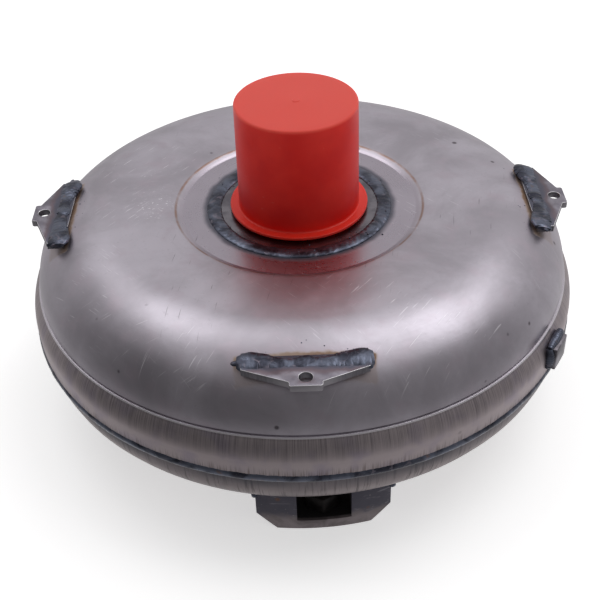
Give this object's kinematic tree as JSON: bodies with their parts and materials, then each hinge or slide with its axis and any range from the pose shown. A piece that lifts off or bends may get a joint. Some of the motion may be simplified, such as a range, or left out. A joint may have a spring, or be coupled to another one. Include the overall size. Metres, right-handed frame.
{
  "type": "torque converter",
  "caption": "Welded three-element torque converter with a slotted pump hub, turbine, one-way stator, drive lugs, mounting ears and a protective hub cap.",
  "frame": {"origin": "centre of the plane of the four drive lug pads, on the axis of rotation", "axes": "+Z along the hub, away from the engine; -Y towards the ear between the +X and -X ears, beside drive lug 1"},
  "size_m": [0.3248, 0.3248, 0.1873],
  "materials": {
    "shell_steel": "satin rolled steel, fine circumferential brushing",
    "cover_steel": "dull rolled steel",
    "weld": "blue-black weld bead",
    "hub_steel": "ground steel, heat darkened at its flange",
    "ear_steel": "sheared steel plate, heat tinted at its root",
    "lug_steel": "forged steel",
    "nut_steel": "plain steel nut",
    "weight_steel": "dark steel",
    "blade_steel": "pressed sheet steel",
    "machined_steel": "machined steel",
    "cast_alloy": "as cast",
    "bearing_steel": "ground and polished",
    "cap_plastic": "satin moulded polyethylene"
  },
  "bodies": {
    "housing": {"impeller_shell": "shell_steel", "front_cover": "cover_steel", "rim_weld": "weld", "impeller_hub": "hub_steel", "hub_weld": "weld", "pilot_boss": "hub_steel", "pilot_weld": "weld", "drive_lug_1": "lug_steel", "drive_lug_2": "lug_steel", "drive_lug_3": "lug_steel", "drive_lug_4": "lug_steel", "lug_nuts": "nut_steel", "lug_welds": "weld", "mounting_ear_1": "ear_steel", "mounting_ear_2": "ear_steel", "mounting_ear_3": "ear_steel", "mounting_ear_4": "ear_steel", "ear_welds": "weld", "balance_weight": "weight_steel", "balance_weight_welds": "weld", "impeller_core_ring": "blade_steel", "impeller_blades": "blade_steel", "front_bearing_race_cover": "bearing_steel", "rear_bearing_race_hub": "bearing_steel"},
    "turbine": {"turbine_shell": "blade_steel", "turbine_core_ring": "blade_steel", "turbine_blades": "blade_steel", "turbine_hub": "machined_steel", "turbine_rivets": "machined_steel", "front_bearing_race_turbine": "bearing_steel", "middle_bearing_race_turbine": "bearing_steel"},
    "reaction_race": {"freewheel_inner_race": "machined_steel"},
    "stator": {"stator_wheel": "cast_alloy", "stator_front_plate": "cast_alloy", "stator_rear_plate": "cast_alloy", "stator_snap_ring": "machined_steel", "freewheel_outer_race": "machined_steel", "freewheel_rollers": "bearing_steel", "freewheel_springs": "machined_steel", "middle_bearing_race_stator": "bearing_steel", "rear_bearing_race_stator": "bearing_steel"},
    "front_cage": {"front_bearing_cage": "bearing_steel", "front_bearing_needles": "bearing_steel"},
    "middle_cage": {"middle_bearing_cage": "bearing_steel", "middle_bearing_needles": "bearing_steel"},
    "rear_cage": {"rear_bearing_cage": "bearing_steel", "rear_bearing_needles": "bearing_steel"},
    "cap": {"hub_cap": "cap_plastic"}
  },
  "joints": [
    {"name": "turbine_spin", "type": "hinge", "parent": "housing", "child": "turbine", "pos_m": [0, 0, 0.085], "axis": [0, 0, 1], "continuous": true},
    {"name": "reaction_spin", "type": "hinge", "parent": "housing", "child": "reaction_race", "pos_m": [0, 0, 0.085], "axis": [0, 0, 1], "continuous": true},
    {"name": "stator_freewheel", "type": "hinge", "parent": "reaction_race", "child": "stator", "pos_m": [0, 0, 0.085], "axis": [0, 0, 1], "range_deg": [0, 360]},
    {"name": "front_cage_spin", "type": "hinge", "parent": "housing", "child": "front_cage", "pos_m": [0, 0, 0.085], "axis": [0, 0, 1], "continuous": true},
    {"name": "middle_cage_spin", "type": "hinge", "parent": "housing", "child": "middle_cage", "pos_m": [0, 0, 0.085], "axis": [0, 0, 1], "continuous": true},
    {"name": "rear_cage_spin", "type": "hinge", "parent": "housing", "child": "rear_cage", "pos_m": [0, 0, 0.085], "axis": [0, 0, 1], "continuous": true},
    {"name": "cap_lift", "type": "slide", "parent": "housing", "child": "cap", "axis": [0, 0, 1], "range_m": [0, 0.12]}
  ],
  "couplings": [
    {"joint": "front_cage_spin", "follows": "turbine_spin", "ratio": 0.5},
    {"joint": "middle_cage_spin", "follows": "turbine_spin", "ratio": 0.5},
    {"joint": "rear_cage_spin", "follows": "reaction_spin", "ratio": 0.5}
  ]
}
